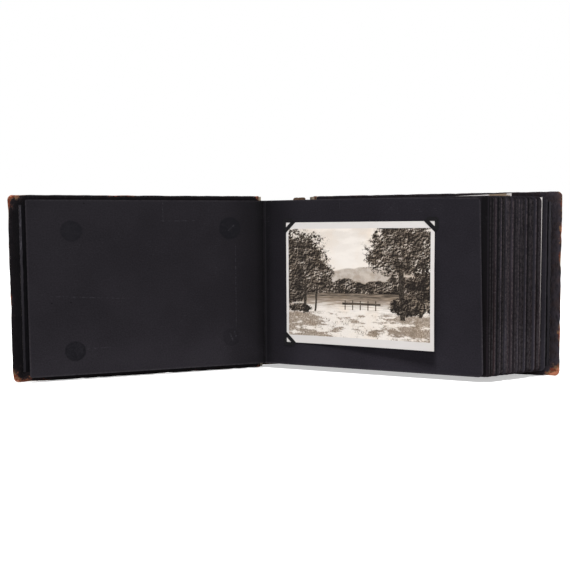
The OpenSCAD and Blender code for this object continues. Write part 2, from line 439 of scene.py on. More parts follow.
def makeViewGroup():  # a made-up sepia lake view; x from 0 to 1.27 and y from 0 to 1.016 over the print
    tree, source, result = newGroup("lakeView", {"Vector": None, "Seed": 0.0}, ("Tone",))
    s = viewSettings
    across, up, _ = split(source["Vector"])
    seed = source["Seed"]

    def ridge(scale, height, swing, detail, offset):  # a skyline above the foot of the picture
        return (noiseNode(combine(across, seed + offset), scale, detail, 0.55) - 0.5) * swing + height

    def below(line, soft=0.006):
        return between(line - up, -soft, soft)

    place = combine(across, up, seed)
    clumps = noiseNode(place, 13, 3, 0.6)
    leafy = noiseNode(place, 46, 6, 0.88)
    lit = noiseNode(combine(across + 0.007, up - 0.009, seed), 46, 6, 0.88)  # leaf clumps lit from the upper left
    leaves = between(leafy - lit, -0.04, 0.14, 0.02, 0.7) * between(clumps, 0.38, 0.64, 0.35, 1.35)
    cloud = noiseNode(combine(across * 1.6, up * 4.5, seed), 2.6, 4, 0.55)
    tone = between(up, 0.5, 1.02, 0.97, 0.84) + between(cloud, 0.42, 0.7, -0.05, 0.08)

    tone = mixValue(below(ridge(*s["hills"]), 0.008), tone, 0.63 + between(clumps, 0.35, 0.65, -0.05, 0.05))
    tone = mixValue(below(ridge(*s["woods"])), tone, leaves * 0.85)

    ripple = noiseNode(combine(across * 5, up * 90, seed), 1.4, 3, 0.6)
    water = between(up, 0.27, 0.43, 0.97, 0.3) + between(ripple, 0.35, 0.7, -0.2, 0.16)
    tone = mixValue(below(s["waterLine"], 0.004), tone, water)

    start, end = s["jettyEnds"]
    jetty = between(across, start, start + 0.005) * between(across, end, end + 0.005, 1, 0)
    deck = between(abs(up - s["deckHeight"]), 0.007, 0.011, 1, 0)
    legs = between(calc("PINGPONG", across, s["legSpacing"]), 0.003, 0.006, 1, 0)
    legs *= between(up, 0.29, 0.3) * between(up, 0.37, 0.375, 1, 0)
    tone = mixValue(jetty * larger(deck, legs), tone, between(ripple, 0.4, 0.6, 0.06, 0.26))

    grass = noiseNode(combine(across * 2.6, up, seed), 48, 5, 0.75)
    tone = mixValue(below(ridge(*s["meadow"])), tone, 0.93 + between(grass, 0.35, 0.7, -0.1, 0.07))
    dapple = noiseNode(combine(across, up * 3.2, seed + 5.0), 6, 6, 0.72)
    sideways = between(abs(across - 0.58), 0.05, 0.6, 0.0, 0.13)
    shade = between(dapple + sideways, 0.52, 0.6) * below(0.27, 0.02)
    tone = mixValue(shade * 0.72, tone, between(grass, 0.35, 0.68, 0.1, 0.62))
    tufts = between(grass, 0.5, 0.6) * between(clumps, 0.5, 0.62)
    tone = mixValue(tufts * below(0.25, 0.03), tone, 0.18)

    def crown(x, y, wide, high, ragged):  # a tree's leaves, or a bush
        dx, dy = (across - x) / wide, (up - y) / high
        edge = calc("SQRT", dx * dx + dy * dy) + (clumps - 0.5) * ragged + (leafy - 0.5) * (ragged * 1.6)
        return between(edge, 0.88, 0.98, 1, 0)

    def trunk(x, lean, width, low, high):
        middle = up * lean + x + (clumps - 0.5) * 0.02
        side = between(abs(across - middle), width * 0.75, width, 1, 0)
        return side * (between(up, low, low + 0.01) * between(up, high, high + 0.01, 1, 0))

    for settings in s["trunks"]:
        tone = mixValue(trunk(*settings), tone, between(grass, 0.35, 0.65, 0.02, 0.2))
    for *settings, level in s["crowns"]:
        tone = mixValue(crown(*settings), tone, leaves * level)

    tone += between(noiseNode(place, 260, 2, 0.6), 0.25, 0.75, -0.05, 0.05)
    feed(result, {"Tone": larger(smaller(tone, 1.0), 0.0)})
    return tree


paperGroup = makePaperGroup()
leatherGroup = makeLeatherGroup()
wearGroup = makeWearGroup()
dustGroup = makeDustGroup()
viewGroup = makeViewGroup()
print("shared effects made")


# materials
def layOver(colour, *layers):  # each layer is a mask and the colour that it shows
    for mask, layer in layers:
        colour = mixColour(mask, colour, layer)
    return colour


def finishShader(shader, colour, height, strength=0.18, depth=0.0004, **inputs):
    bump = addNode(colour.tree, "Bump", {"Height": height, "Strength": strength, "Distance": depth})
    feed(shader, {"Base Color": colour, "Normal": bump[0], **inputs})


paperSettings = {
    "pages": {  # colour, scuffs, fore-edge on the UV map, gutter shadows (reach, least light), rubbing, fold line (worn paper with a painted highlight)
        "albumLeafPaper": (paint(31, 29, 34), 0.4, 0.191, ((0.045, 0.5), (0.010, 0.5)), 0.75, 0.12),
        "firstLeafPaper": (paint(31, 29, 34), 0.35, 0.186, ((0.045, 0.5), (0.010, 0.5)), 0.75, 0.12),
        "flyleafPaper": (paint(31, 29, 33), 0.3, 0.191, ((0.045, 0.55), (0.008, 0.5)), 0.45, 0),
    },
    "specular": 0.055, "roughness": 0.8, "height": 0.14,
    "cutEdge": paint(45, 40, 43), "brown": paint(255, 214, 205), "rubbed": paint(86, 82, 86),
    "scuff": paint(80, 78, 84), "margin": paint(78, 66, 66), "fold": paint(62, 60, 65),
}


def makeLeafPaper(name):
    s = paperSettings
    base, scuffs, foreEdge, gutter, rub, fold = s["pages"][name]
    material, tree, shader = newMaterial(name, Roughness=s["roughness"], Specular_IOR_Level=s["specular"])
    place = uvPlace(tree)
    across, up, _ = split(place)
    own, fanned = readMask(tree, "tone"), readMask(tree, "fanned")
    ownPlace = combine(z=own)
    shifted = vectorMath("ADD", place, {1: ownPlace})
    paper = useGroup(paperGroup, {"Vector": shifted, "Scuffs": scuffs})
    toFore = foreEdge - across
    toEnd = smaller(up, s["height"] - up)

    streaks = noiseNode(stretch(shifted, (300, 16, 60)), 1, 4, 0.65)
    stripe = between(own, 0, 1, 0.12, 1.75) * between(streaks, 0.35, 0.68, 0.55, 1.35)
    tone = paper["Shade"] * between(own, 0, 1, 0.92, 1.08)
    tone = mixValue(between(toFore, 0.0008, 0.0026, 1, 0) * fanned, tone, stripe)
    tone *= between(up, 0.0, 0.05, 1.42, 1) * between(up, 0.04, 0.13, 1, 0.9)  # painted floor-bounce light: brighter towards the foot, darker towards the head
    # painted shadow in the gaps beside chosen leaves, near their fore-edges
    gapShadow = between(toFore, 0.0021, 0.0031) * between(toFore, 0.0065, 0.009, 0.75, 0)
    tone *= 1 - gapShadow * readMask(tree, "gapShadow")
    # painted shade beside the crease
    for reach, least in gutter:
        tone *= between(across, 0.0, reach, least, 1)
    colour = tint(base, grey(tone))

    brown = between(noiseNode(ownPlace, 40, 0), 0.42, 0.6) * fanned * between(up, 0.02, 0.12, 1, 0.45)
    broken = noiseNode(shifted, 420, 4, 0.7)
    margin = between(toFore, 0.0001, 0.0009, 1, 0) * between(broken, 0.42, 0.62)
    margin *= fanned * between(own, 0.2, 1.0, 0.1, 0.75)
    rubbed = between(smaller(toFore, toEnd), 0.0, 0.0016, 1, 0) * between(broken, 0.34, 0.66, 0.15, 0.6)
    rubbed *= between(up, 0.02, 0.05, rub, rub * 0.55)
    # a lighter line along the crease: partly worn paper, partly a painted highlight on the crease
    line = between(abs(across - 0.0008), 0.0003, 0.0011, fold, 0)
    colour = layOver(
        colour, (brown, tint(colour, s["brown"])), (margin, s["margin"]), (rubbed, s["rubbed"]),
        (readMask(tree, "rim") * 0.75, s["cutEdge"]), (line, s["fold"]), (paper["Scuff"], s["scuff"]))
    return material, tree, shader, colour, paper["Height"]


def makeLeafMaterial(name):
    material, _, shader, colour, height = makeLeafPaper(name)
    finishShader(shader, colour, height)
    return material


flyleafMarks = {  # places on the flyleaf in metres from its crease and its foot
    "spots": [  # place, strength, size
        (0.1572, 0.1154, 1.0, 1.0), (0.0288, 0.1167, 1.2, 1.12),
        (0.1562, 0.0193, 1.1, 0.96), (0.0284, 0.0241, 0.36, 0.9),
    ],
    "spotRadius": 0.0086, "spotColour": paint(17, 17, 21), "ringColour": paint(12, 11, 15),
    "scratchColour": paint(84, 82, 88), "pinholeColour": paint(10, 9, 12),
    "scratches": [  # start, end, width
        ((0.0515, 0.1231), (0.089, 0.1230), 0.0004), ((0.0848, 0.1219), (0.0849, 0.139), 0.00035),
        ((0.0242, 0.0296), (0.0241, 0.1063), 0.0005), ((0.1156, 0.0603), (0.1763, 0.064), 0.0004),
        ((0.128, 0.0212), (0.149, 0.0206), 0.0006), ((0.0247, 0.1195), (0.0311, 0.1138), 0.0012),
        ((0.0262, 0.0195), (0.0305, 0.0288), 0.001), ((0.0243, 0.0238), (0.0258, 0.0296), 0.0008),
    ],
    "pinholes": [(0.1734, 0.0584), (0.1588, 0.0586), (0.1469, 0.1372)],
}


def makeFlyleafMaterial():
    s = flyleafMarks
    material, tree, shader, colour, height = makeLeafPaper("flyleafPaper")
    place = uvPlace(tree)
    across, up, _ = split(place)
    ragged = (noiseNode(place, 240, 3, 0.6) - 0.5) * 0.0024
    discs, rings, lines, pinholes = [], [], [], []
    for x, z, strength, size in s["spots"]:
        away = distance(place, (x, z, 0)) + ragged
        radius = s["spotRadius"] * size
        discs.append(between(away, radius * 0.88, radius * 1.06, strength, 0))
        rings.append(between(abs(away - radius * 0.86), 0.0002, 0.0013, strength, 0))
    for (x0, z0), (x1, z1), width in s["scratches"]:
        ways = (across - (x0 + x1) / 2, x1 - x0), (up - (z0 + z1) / 2, z1 - z0)
        (off, drift), (along, run) = sorted(ways, key=lambda way: abs(way[1]))
        inLength = between(abs(along), abs(run) * 0.4, abs(run) * 0.5, 1, 0)
        lines.append(inLength * between(abs(off - along * (drift / run)), width * 0.4, width, 1, 0))
    for x, z in s["pinholes"]:
        pinholes.append(between(distance(place, (x, z, 0)), 0.0003, 0.0009, 0.8, 0))
    spots = largest(discs) * between(noiseNode(place, 240, 5, 0.78, 1.2), 0.36, 0.62, 0.45, 1)
    scratches = largest(lines) * between(noiseNode(place, 330, 5, 0.8), 0.44, 0.64) * 0.26
    colour = layOver(
        colour, (spots * 0.85, s["spotColour"]), (largest(rings) * 0.16, s["ringColour"]),
        (scratches, s["scratchColour"]), *((pinhole, s["pinholeColour"]) for pinhole in pinholes))
    finishShader(shader, colour, height + spots * 0.6, Roughness=between(spots, 0, 1, 0.82, 0.66))
    return material


leatherSettings = {
    # outside is the black leather painted lighter, as painted light on the outer faces
    "black": paint(9, 8, 10), "outside": paint(29, 25, 25), "hollow": paint(3, 3, 4), "dust": paint(54, 46, 48),
    "worn": paint(98, 50, 37), "wornTan": paint(104, 80, 60), "bare": paint(168, 108, 82),
    "scuffAndSheen": paint(57, 52, 58), "scuffedBrown": paint(57, 48, 49), "grain": 1150.0, "specular": 0.03,
}


def makeLeatherMaterial(name, findPlace, wearAmount=1.0):  # the scuff-and-sheen mask greys it with scuffing and a painted sheen, the wear mask bares it
    s = leatherSettings
    material, tree, shader = newMaterial(name, Specular_IOR_Level=s["specular"])
    place = findPlace(tree)
    grain = useGroup(leatherGroup, {"Vector": place, "Scale": s["grain"]})
    wear = useGroup(wearGroup, {"Vector": place, "Wear": readMask(tree, "wear"), "Amount": wearAmount})
    # the outer face is painted lighter than the turned-in leather: painted light for the faces turned away from the
    # lamps
    base = mixColour(readMask(tree, "outside"), s["black"], s["outside"])
    scuffAndSheenNoise = noiseNode(stretch(place, (1, 1, 0.45)), 420, 5, 0.75, 0.6)
    # grey patches, partly real scuffing and partly a painted bluish sheen
    scuffAndSheen = readMask(tree, "scuffAndSheen") * between(scuffAndSheenNoise, 0.3, 0.62, 0.35, 1.15)
    scuffAndSheenTone = mixColour(between(noiseNode(place, 130, 3, 0.6), 0.42, 0.66), s["scuffAndSheen"], s["scuffedBrown"])
    wornTone = mixColour(between(noiseNode(place, 310, 3, 0.6), 0.44, 0.6), s["worn"], s["wornTan"])
    colour = layOver(
        tint(base, grey(grain["Shade"])), (grain["Hollow"] * 0.45, s["hollow"]), (wear["Dusty"] * 0.5, s["dust"]),
        (scuffAndSheen, scuffAndSheenTone), (wear["Worn"], wornTone), (wear["Bare"], s["bare"]))
    rough = between(grain["Height"], 0.2, 1.0, 0.52, 0.4) + wear["Worn"] * 0.35
    finishShader(shader, colour, grain["Height"] - wear["Worn"] * 0.5, 0.5, 0.00035, Roughness=rough)
    return material


spottedSettings = {  # materials of two tones with spots; a noise is scale, detail and roughness
    "leatherFleshSide": {
        "values": {"Roughness": 0.9, "Specular_IOR_Level": 0.12}, "bump": (0.5, 0.0005),
        "grain": (700, 5, 0.75), "tones": (paint(72, 56, 46), paint(112, 90, 74)),
        "stain": (90, 3, 0.6), "spots": (0.5, 0.75, 0, 0.6), "spotColour": paint(48, 38, 33),
    },
    "greyBoard": {
        "values": {"Roughness": 0.88, "Specular_IOR_Level": 0.2}, "bump": (0.4, 0.0004), "stretch": (1, 1, 5),
        "grain": (300, 5, 0.7), "tones": (paint(128, 116, 100), paint(166, 154, 136)),
        "stain": (60, 3, 0.6), "spots": (0.55, 0.7, 0, 0.4), "spotColour": paint(104, 92, 80),
    },
    "dullWire": {
        "values": {"Metallic": 1.0}, "bump": (0.3, 0.0002), "roughness": (0.5, 0.7, 0.34, 0.8),
        "grain": (1400, 3, 0.6), "tones": (paint(150, 148, 144), paint(196, 194, 190)),
        "stain": (240, 4, 0.7), "spots": (0.55, 0.68, 0, 1), "spotColour": paint(118, 74, 48),
    },
    "cornerPaper": {
        "values": {"Specular_IOR_Level": 0.1}, "bump": (0.3, 0.0002), "roughness": (0.3, 0.7, 0.38, 0.6),
        "grain": (1100, 4, 0.7), "tones": (paint(8, 7, 9), paint(17, 16, 19)),
        "stain": (420, 3, 0.6), "spots": (0.6, 0.75, 0, 0.4), "spotColour": paint(54, 50, 54),
    },
}


def makeSpottedMaterial(name):
    s = spottedSettings[name]
    material, tree, shader = newMaterial(name, **s["values"])
    place = objectPlace(tree)
    grain = noiseNode(stretch(place, s["stretch"]) if "stretch" in s else place, *s["grain"])
    stain = noiseNode(place, *s["stain"])
    tones = mixColour(between(grain, 0.3, 0.7), *s["tones"])
    colour = mixColour(between(stain, *s["spots"]), tones, s["spotColour"])
    inputs = {"Roughness": between(stain, *s["roughness"])} if "roughness" in s else {}
    finishShader(shader, colour, grain, *s["bump"], **inputs)
    return material


def makePlainPaper(name, light, dark, roughness=0.86, specular=0.06):
    material, tree, shader = newMaterial(name, Roughness=roughness, Specular_IOR_Level=specular)
    place = objectPlace(tree)
    paper = useGroup(paperGroup, {"Vector": place, "Scuffs": 0.4})
    colour = mixColour(between(noiseNode(place, 55, 3, 0.6), 0.3, 0.7), dark, light)
    colour = mixColour(paper["Scuff"] * 0.6, colour, paperSettings["scuff"])
    return material, place, shader, colour, paper["Height"]


def makeStubMaterial(name, light, dark):
    material, _, shader, colour, height = makePlainPaper(name, light, dark)
    finishShader(shader, colour, height)
    return material


pastedownSettings = {
    # the paper is painted near black as shade under the flyleaf; the strip's lightness is a painted sheen and the
    # glint a painted highlight
    "paper": paint(9, 8, 11), "dark": paint(4, 4, 5), "strip": paint(44, 42, 46), "glint": paint(76, 74, 80),
    "edge": 0.19612, "strips": 0.0024, "roughness": 0.4, "specular": 0.03,
}


def makePastedownMaterial(side):  # a burnished strip with a painted sheen runs beside the turned-in leather of the fore-edge; the rest of the paper is painted near black as the flyleaf's shadow
    s = pastedownSettings
    material, place, shader, colour, height = makePlainPaper(
        f"{side}PastedownPaper", s["paper"], s["dark"], s["roughness"], s["specular"])
    matrix = jointMatrix(f"{side}_joint_fold")
    way = matrix.to_3x3() @ Vector((1, 0, 0))
    along = vectorMath("DOT_PRODUCT", place, {1: tuple(way)}, "Value")
    high = split(place)[2]
    crumple = noiseNode(stretch(place, (3.2, 3.2, 0.8)), 160, 4, 0.6, 0.5)
    ragged = (crumple - 0.5) * 0.0016 + (s["edge"] + matrix.translation.dot(way) - along)
    strip = between(ragged, 0.0, 0.0004) * between(ragged, 0.0016, s["strips"], 1, 0)
    # the painted sheen grows towards the head, and the glints are painted highlights
    strip *= between(high, 0.02, 0.12, 0.6, 1)
    glint = strip * between(crumple, 0.52, 0.66) * between(high, 0.085, 0.12)
    colour = layOver(colour, (strip, s["strip"]), (glint, s["glint"]))
    finishShader(shader, colour, height * 0.2 + crumple, 0.6, 0.0006)
    return material


def makeClothMaterial():
    material, tree, shader = newMaterial("liningCloth", Roughness=0.92, Specular_IOR_Level=0.15)
    place = objectPlace(tree)
    turned = addNode(tree, "VectorRotate", {"Vector": place, "Angle": -spineTurn}, rotation_type="Z_AXIS")[0]
    across, _, up = split(turned)
    weave = larger(calc("SINE", across * 7000), calc("SINE", up * 7000))
    threads = mixColour(between(weave, -0.4, 0.8), paint(96, 84, 66), paint(178, 164, 136))
    stain = between(noiseNode(place, 70, 4, 0.6), 0.45, 0.75, 0, 0.7)
    finishShader(shader, mixColour(stain, threads, paint(104, 76, 48)), weave, 0.5, 0.0003)
    return material


printSettings = {
    "width": 0.127, "height": 0.1016, "thickness": 0.0002, "specular": 0.13, "borderEdge": 0.00012,
    "mountedGrid": (42, 34), "looseGrid": (22, 28),
    "borders": {  # left, right, top, bottom
        "mounted": (0.0021, 0.0031, 0.0053, 0.0065),
        "top": (0.0013, 0.0013, 0.0012, 0.0012), "side": (0.0013, 0.0013, 0.0012, 0.0012),
    },
    "seeds": {"mounted": 0.0, "top": 3.7, "side": 9.2}, "stains": {"top": (0.127, 0.0105)},
    "border": paint(202, 198, 196), "agedBorder": paint(192, 184, 175), "aged": paint(246, 226, 200),
    "dust": paint(120, 104, 88), "stain": paint(126, 106, 84),
    "darkTone": paint(22, 17, 14), "middleTone": paint(138, 124, 110), "lightTone": paint(223, 216, 209),
}


def makePrintMaterial(name):
    s = printSettings
    left, right, top, bottom = s["borders"][name]
    soft = s["borderEdge"]
    material, tree, shader = newMaterial(f"{name}PrintFace", Specular_IOR_Level=s["specular"])
    place = uvPlace(tree)
    across, up, _ = split(place)
    ragged = (noiseNode(place, 900, 2, 0.6) - 0.5) * 0.0003

    def within(way, low, high):
        return between(way + ragged, low - soft, low + soft) * between(way + ragged, high - soft, high + soft, 1, 0)

    inside = within(across, left, s["width"] - right) * within(up, bottom, s["height"] - top)
    tone = useGroup(viewGroup, {"Vector": stretch(place, (10, 10, 10)), "Seed": s["seeds"][name]})["Tone"]
    dark = mixColour(between(tone, 0.03, 0.5), s["darkTone"], s["middleTone"])
    picture = mixColour(between(tone, 0.42, 0.95), dark, s["lightTone"])
    aged = between(noiseNode(place, 45, 4, 0.6), 0.4, 0.75, 0, 0.35)
    picture = mixColour(aged, picture, tint(picture, s["aged"]))
    border = mixColour(aged * 0.5, s["border"], s["agedBorder"])
    dust = useGroup(dustGroup, {"Vector": place, "Density": 0.12})["Mask"]
    colour = layOver(border, (inside, picture), (dust * 0.2, s["dust"]))
    if name in s["stains"]:
        x, z = s["stains"][name]
        away = distance(stretch(place, (1, 0.6, 1)), (x, z * 0.6, 0))
        colour = mixColour(between(away, 0.0036, 0.0046, 0.9, 0), colour, s["stain"])
    height = useGroup(paperGroup, {"Vector": place, "Scuffs": 0.3})["Height"]
    finishShader(shader, colour, height, 0.06, 0.0002, Roughness=between(aged, 0, 0.35, 0.32, 0.46))
    return material


def makePrintBackMaterial():
    material, tree, shader = newMaterial("printBack", Roughness=0.8, Specular_IOR_Level=0.25)
    place = uvPlace(tree)
    stain = noiseNode(place, 60, 4, 0.65)
    fibre = noiseNode(place, 900, 4, 0.7)
    paper = mixColour(between(stain, 0.42, 0.7), paint(216, 208, 194), paint(190, 164, 128))
    colour = mixColour(between(fibre, 0.4, 0.8, 0, 0.25), paper, paint(150, 132, 110))
    finishShader(shader, colour, fibre, 0.2, 0.0002)
    return material


leafMaterial = makeLeafMaterial("albumLeafPaper")
firstLeafMaterial = makeLeafMaterial("firstLeafPaper")
flyleafMaterial = makeFlyleafMaterial()
coverLeather = makeLeatherMaterial("coverLeather", objectPlace)
jointLeather = makeLeatherMaterial("jointLeather", uvPlace, 0.9)
fleshMaterial = makeSpottedMaterial("leatherFleshSide")
boardMaterial = makeSpottedMaterial("greyBoard")
printMaterials = {name: makePrintMaterial(name) for name in ("mounted", "top", "side")}
printBackMaterial = makePrintBackMaterial()

boards = ("spine_inlay", "front_binding_strip", "back_binding_strip", "front_board", "back_board")
for names, material in (
    (boards, boardMaterial),
    (("spine_lining",), makeClothMaterial()),
    (("leaf_stubs",), makeStubMaterial("stubPaper", paint(34, 31, 34), paint(22, 20, 22))),
    (("stub_guards",), makeStubMaterial("guardPaper", paint(22, 20, 23), paint(12, 11, 13))),
    (("stitch_wires",), makeSpottedMaterial("dullWire")),
    (("front_pastedown",), makePastedownMaterial("front")),
    (("back_pastedown",), makePastedownMaterial("back")),
    (("photo_corners",), makeSpottedMaterial("cornerPaper")),
):
    for name in names:
        setMaterials(frame["nodes"][name], material)
print("materials made")


# leaves
looseSettings = {  # the two prints tucked in between the leaves
    "top": {"group": 9, "after": 27, "inset": 0.008, "rise": 0.0024, "lean": -2},
    "side": {"group": 15, "after": 45, "stand": 0.0006, "lean": 0.2, "foot": 0.0125},
}
leafSettings = {
    "width": 0.191, "height": 0.140, "foot": 0.004, "thickness": 0.00035, "corner": 0.004,
    "creaseStart": 0.0007, "bendLength": 0.00078, "bendColumns": 5, "stubGap": 0.0003, "bendPast": 0.00026,
    "columns": 26, "rows": 18, "cornerSegments": 6, "perGroup": 3, "groups": 16, "lastNumber": 49,
    "wave": (0.0009, 0.085, 0.062, 0.045, 2.3),  # height, length along, length up, step from leaf to leaf, seed
    "ownWave": (0.00007, 0.035, 0.03, 3.7, 0.0),
    "waveStart": 0.012, "waveReach": 0.17, "calmFirst": 10, "calmLast": 9,  # leaves over which the waves grow and fade
    "sag": (0.0014, 7, 0.13),  # how far the leaves lie back at their lower fore-edge, over how many, up to what height
    "shortest": 0.1888, "longest": 0.1911, "beforePrint": 0.1916, "coverGap": 0.00018, "coverGapReach": 0.0009,
    # leaves whose fore-edge region gets a painted gap shadow and a darker random tone
    "darkLeaves": {1: 1, 2: 0.7, 13: 0.9, 14: 1},
    "firstWidth": 0.186, "firstTopWidth": 0.1825, "firstDrop": (0.0013, 0.11, 0.07),  # drop, from where, over how far
    "score": 0.005, "scoreBend": 0.0014, "scoreColumns": 6,
    "scoreCuts": (0.0054, 0.0058, 0.0063, 0.0070),  # close rows for the bend beside the scored line
    "flyleafWidth": 0.193, "flyleafCorner": 0.0014,
}


def makeFlatSheet(name, start, end, columns, corner, bends=True, cuts=()):
    s = leafSettings
    sheet = addGrid(name, start, end, s["height"], columns, s["rows"])
    setMode("EDIT")
    if corner:
        pick(sheet, lambda v: v.co.x > end - tiny and (v.co.z < tiny or v.co.z > s["height"] - tiny))
        bpy.ops.mesh.bevel(offset=corner, segments=s["cornerSegments"], affect="VERTICES")
    if bends:
        pick(sheet, lambda e: all(v.co.x < start + tiny for v in e.verts), "EDGE")
        step = s["bendLength"] / s["bendColumns"]
        for _ in range(s["bendColumns"]):
            bpy.ops.mesh.extrude_region_move(TRANSFORM_OT_translate={"value": (-step, 0, 0)})
    for cut in cuts:
        bpy.ops.mesh.select_all(action="SELECT")
        bpy.ops.mesh.bisect(plane_co=(cut, 0, 0), plane_no=(1, 0, 0))
    setMode("OBJECT")
    unwrapFlat(sheet)
    applyModifier(sheet, "SOLIDIFY", thickness=s["thickness"], offset=0)
    normals = np.zeros(len(sheet.data.polygons) * 3)
    sheet.data.polygons.foreach_get("normal", normals)
    writeMask(sheet.data, "rim", np.abs(normals.reshape(-1, 3)[:, 1]) < 0.5, "FACE")
    sheet["start"], sheet["end"], sheet["bends"] = start, end, bends
    return sheet


def bendAtCrease(points, turn, start):  # leads the sheet's end round into its bound edge
    x, y = points[:, 0].copy(), points[:, 1].copy()
    angle = math.radians(90 - turn)
    middle = leafSettings["thickness"] / 2
    gap = leafSettings["stubGap"]
    stub = np.array([
        math.cos(angle) * middle - math.sin(angle) * gap, math.sin(angle) * middle + math.cos(angle) * gap,
    ])
    turnAngle = math.radians(turn)
    reach = (stub[1] - middle) / math.sin(turnAngle)
    elbow = np.array([stub[0] + reach * math.cos(turnAngle), middle])
    leafEnd = np.array([start, middle])
    share = np.clip((start - x) / leafSettings["bendLength"], 0, 1)[:, None]
    path = (1 - share) ** 2 * leafEnd + 2 * share * (1 - share) * elbow + share ** 2 * stub
    way = 2 * (1 - share) * (elbow - leafEnd) + 2 * share * (stub - elbow)
    way = -way / np.linalg.norm(way, axis=1)[:, None]
    normal = np.stack([-way[:, 1], way[:, 0]], axis=1)
    bent = path + normal * y[:, None]
    flat = np.stack([x, y + middle], axis=1)
    points[:, :2] = np.where(x[:, None] < start, bent, flat)
    return points


def leafWave(x, z, number):  # how far leaf number lies out of its plane
    s = leafSettings

    def swell(height, along, up, step, seed):
        places = np.stack([x / along, z / up, np.full_like(x, number * step)], axis=1)
        return noiseAt(places, 1.0, seed) * height

    calm = min(1, number / s["calmFirst"], max(0, s["lastNumber"] - number) / s["calmLast"])
    depth, leaves, top = s["sag"]
    sag = depth * math.exp(-(number - 1) / leaves) * smooth(1 - z / top) if number >= 1 else 0
    waves = swell(*s["wave"]) * calm + swell(*s["ownWave"])
    return smooth((x - s["waveStart"]) / s["waveReach"]) * (waves + sag)


def placeSheet(flat, name, place, turn, number, width, topWidth=None, tone=None, lift=0):
    s = leafSettings
    start = flat["start"]
    sheet = addObject(name, flat.data.copy())
    sheet.data.name = name
    points = readPoints(sheet.data)
    along, rise = points[:, 0].copy(), points[:, 2].copy()
    widthThere = width + ((topWidth or width) - width) * rise / s["height"]
    stretched = start + (along - start) * (widthThere - start) / (flat["end"] - start)
    points[:, 0] = np.where(along > start, stretched, along)
    if flat["bends"]:
        points = bendAtCrease(points, turn, start)
    else:
        points[:, 1] += s["thickness"] / 2
    if number is not None:
        points[:, 1] += np.where(along > start, leafWave(points[:, 0], rise, number), 0)
    points[:, 1] += lift * smooth((along - start) / s["coverGapReach"])
    # chosen leaves get a painted gap shadow and a darker random tone
    dark = s["darkLeaves"].get(number, 0)
    writeMask(sheet.data, "tone", np.full(len(along), random.random() * (1 - dark) if tone is None else tone))
    writeMask(sheet.data, "gapShadow", np.full(len(along), dark))
    writeMask(sheet.data, "fanned", np.full(len(along), tone is None))
    if topWidth:
        drop, since, reach = s["firstDrop"]
        points[:, 2] -= drop * smooth((along - since) / reach) * rise / s["height"]
    points[:, 2] += s["foot"]
    matrix = np.array(foldMatrix(place, turn))
    writePoints(sheet.data, points @ matrix[:3, :3].T + matrix[:3, 3])
    return sheet


def joinPieces(pieces, name):
    clearSelection()
    for piece in pieces:
        piece.select_set(True)
    bpy.context.view_layer.objects.active = pieces[0]
    bpy.ops.object.join()
    pieces[0].name = pieces[0].data.name = name
    return pieces[0]


groupNumbers = range(1, leafSettings["groups"] + 1)
middles = [jointPlace(f"section_{number:02d}_turn") for number in groupNumbers]
openings = [turnFromClosed(f"section_{number:02d}_turn") for number in groupNumbers]
leafStep = (middles[1] - middles[0]) / leafSettings["perGroup"]
openStep = (openings[1] - openings[0]) / leafSettings["perGroup"]


def dressSheet(sheet, material, replaced):
    setMaterials(sheet, material)
    shadeSmooth(sheet)
    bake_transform(sheet)
    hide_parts(replaced)


def makeLeaves():
    s = leafSettings
    columns = s["columns"]
    flatLeaf = makeFlatSheet("flat_leaf", s["creaseStart"], s["width"], columns, s["corner"])
    for group in range(s["groups"]):
        sheets = []
        for side in (-1, 0, 1):
            width = s["beforePrint"]
            if group != looseSettings["side"]["group"] - 1:
                width = random.uniform(s["shortest"], s["longest"])
            sheets.append(placeSheet(flatLeaf, f"leaf_{group}_{side + 1}", middles[group] + leafStep * side,
                                     openings[group] + openStep * side, group * 3 + 2 + side, width))
        name = f"section_{group + 1:02d}"
        dressSheet(joinPieces(sheets, f"leaves_{group + 1:02d}"), leafMaterial, f"leaf_{name}")

    backSheet = placeSheet(flatLeaf, "back_flyleaf_sheet", middles[-1] + leafStep * 2, openings[-1] + openStep * 2,
                           s["lastNumber"], s["flyleafWidth"], tone=1.0, lift=-s["coverGap"])
    dressSheet(backSheet, leafMaterial, "back_flyleaf")

    flatFlyleaf = makeFlatSheet("flat_flyleaf", s["creaseStart"], s["width"], columns, s["flyleafCorner"])
    flySheet = placeSheet(flatFlyleaf, "flyleaf_sheet", jointPlace("flyleaf_turn"), turnFromClosed("flyleaf_turn"),
                          None, s["flyleafWidth"], tone=0.5, lift=s["coverGap"])
    dressSheet(flySheet, flyleafMaterial, "flyleaf")

    place, turn = jointPlace("first_leaf_strip_fold"), turnFromClosed("first_leaf_strip_fold")
    flatStrip = makeFlatSheet("flat_strip", s["creaseStart"], s["score"], s["scoreColumns"], 0)
    stripSheet = placeSheet(flatStrip, "first_leaf_hinge", place, turn, None, s["score"], tone=0.2)
    dressSheet(stripSheet, firstLeafMaterial, "first_leaf_strip")

    flatFirst = makeFlatSheet(
        "flat_first", s["score"], s["firstWidth"], columns, s["corner"], bends=False, cuts=s["scoreCuts"])
    firstSheet = placeSheet(
        flatFirst, "first_leaf_sheet", place, turn, 0, s["firstWidth"], s["firstTopWidth"], tone=0.6)
    matrix = foldMatrix(place, turn)
    dressSheet(firstSheet, firstLeafMaterial, "first_leaf")
    for flat in (flatLeaf, flatFlyleaf, flatStrip, flatFirst):
        bpy.data.objects.remove(flat)


makeLeaves()
print("leaves placed")


# prints
mountedSettings = {
    "inset": 0.0205, "foot": 0.0195, "stand": 0.00029, "curl": 0.0078, "power": 1.6, "slide": 0.0019, "keep": 0.06,
}


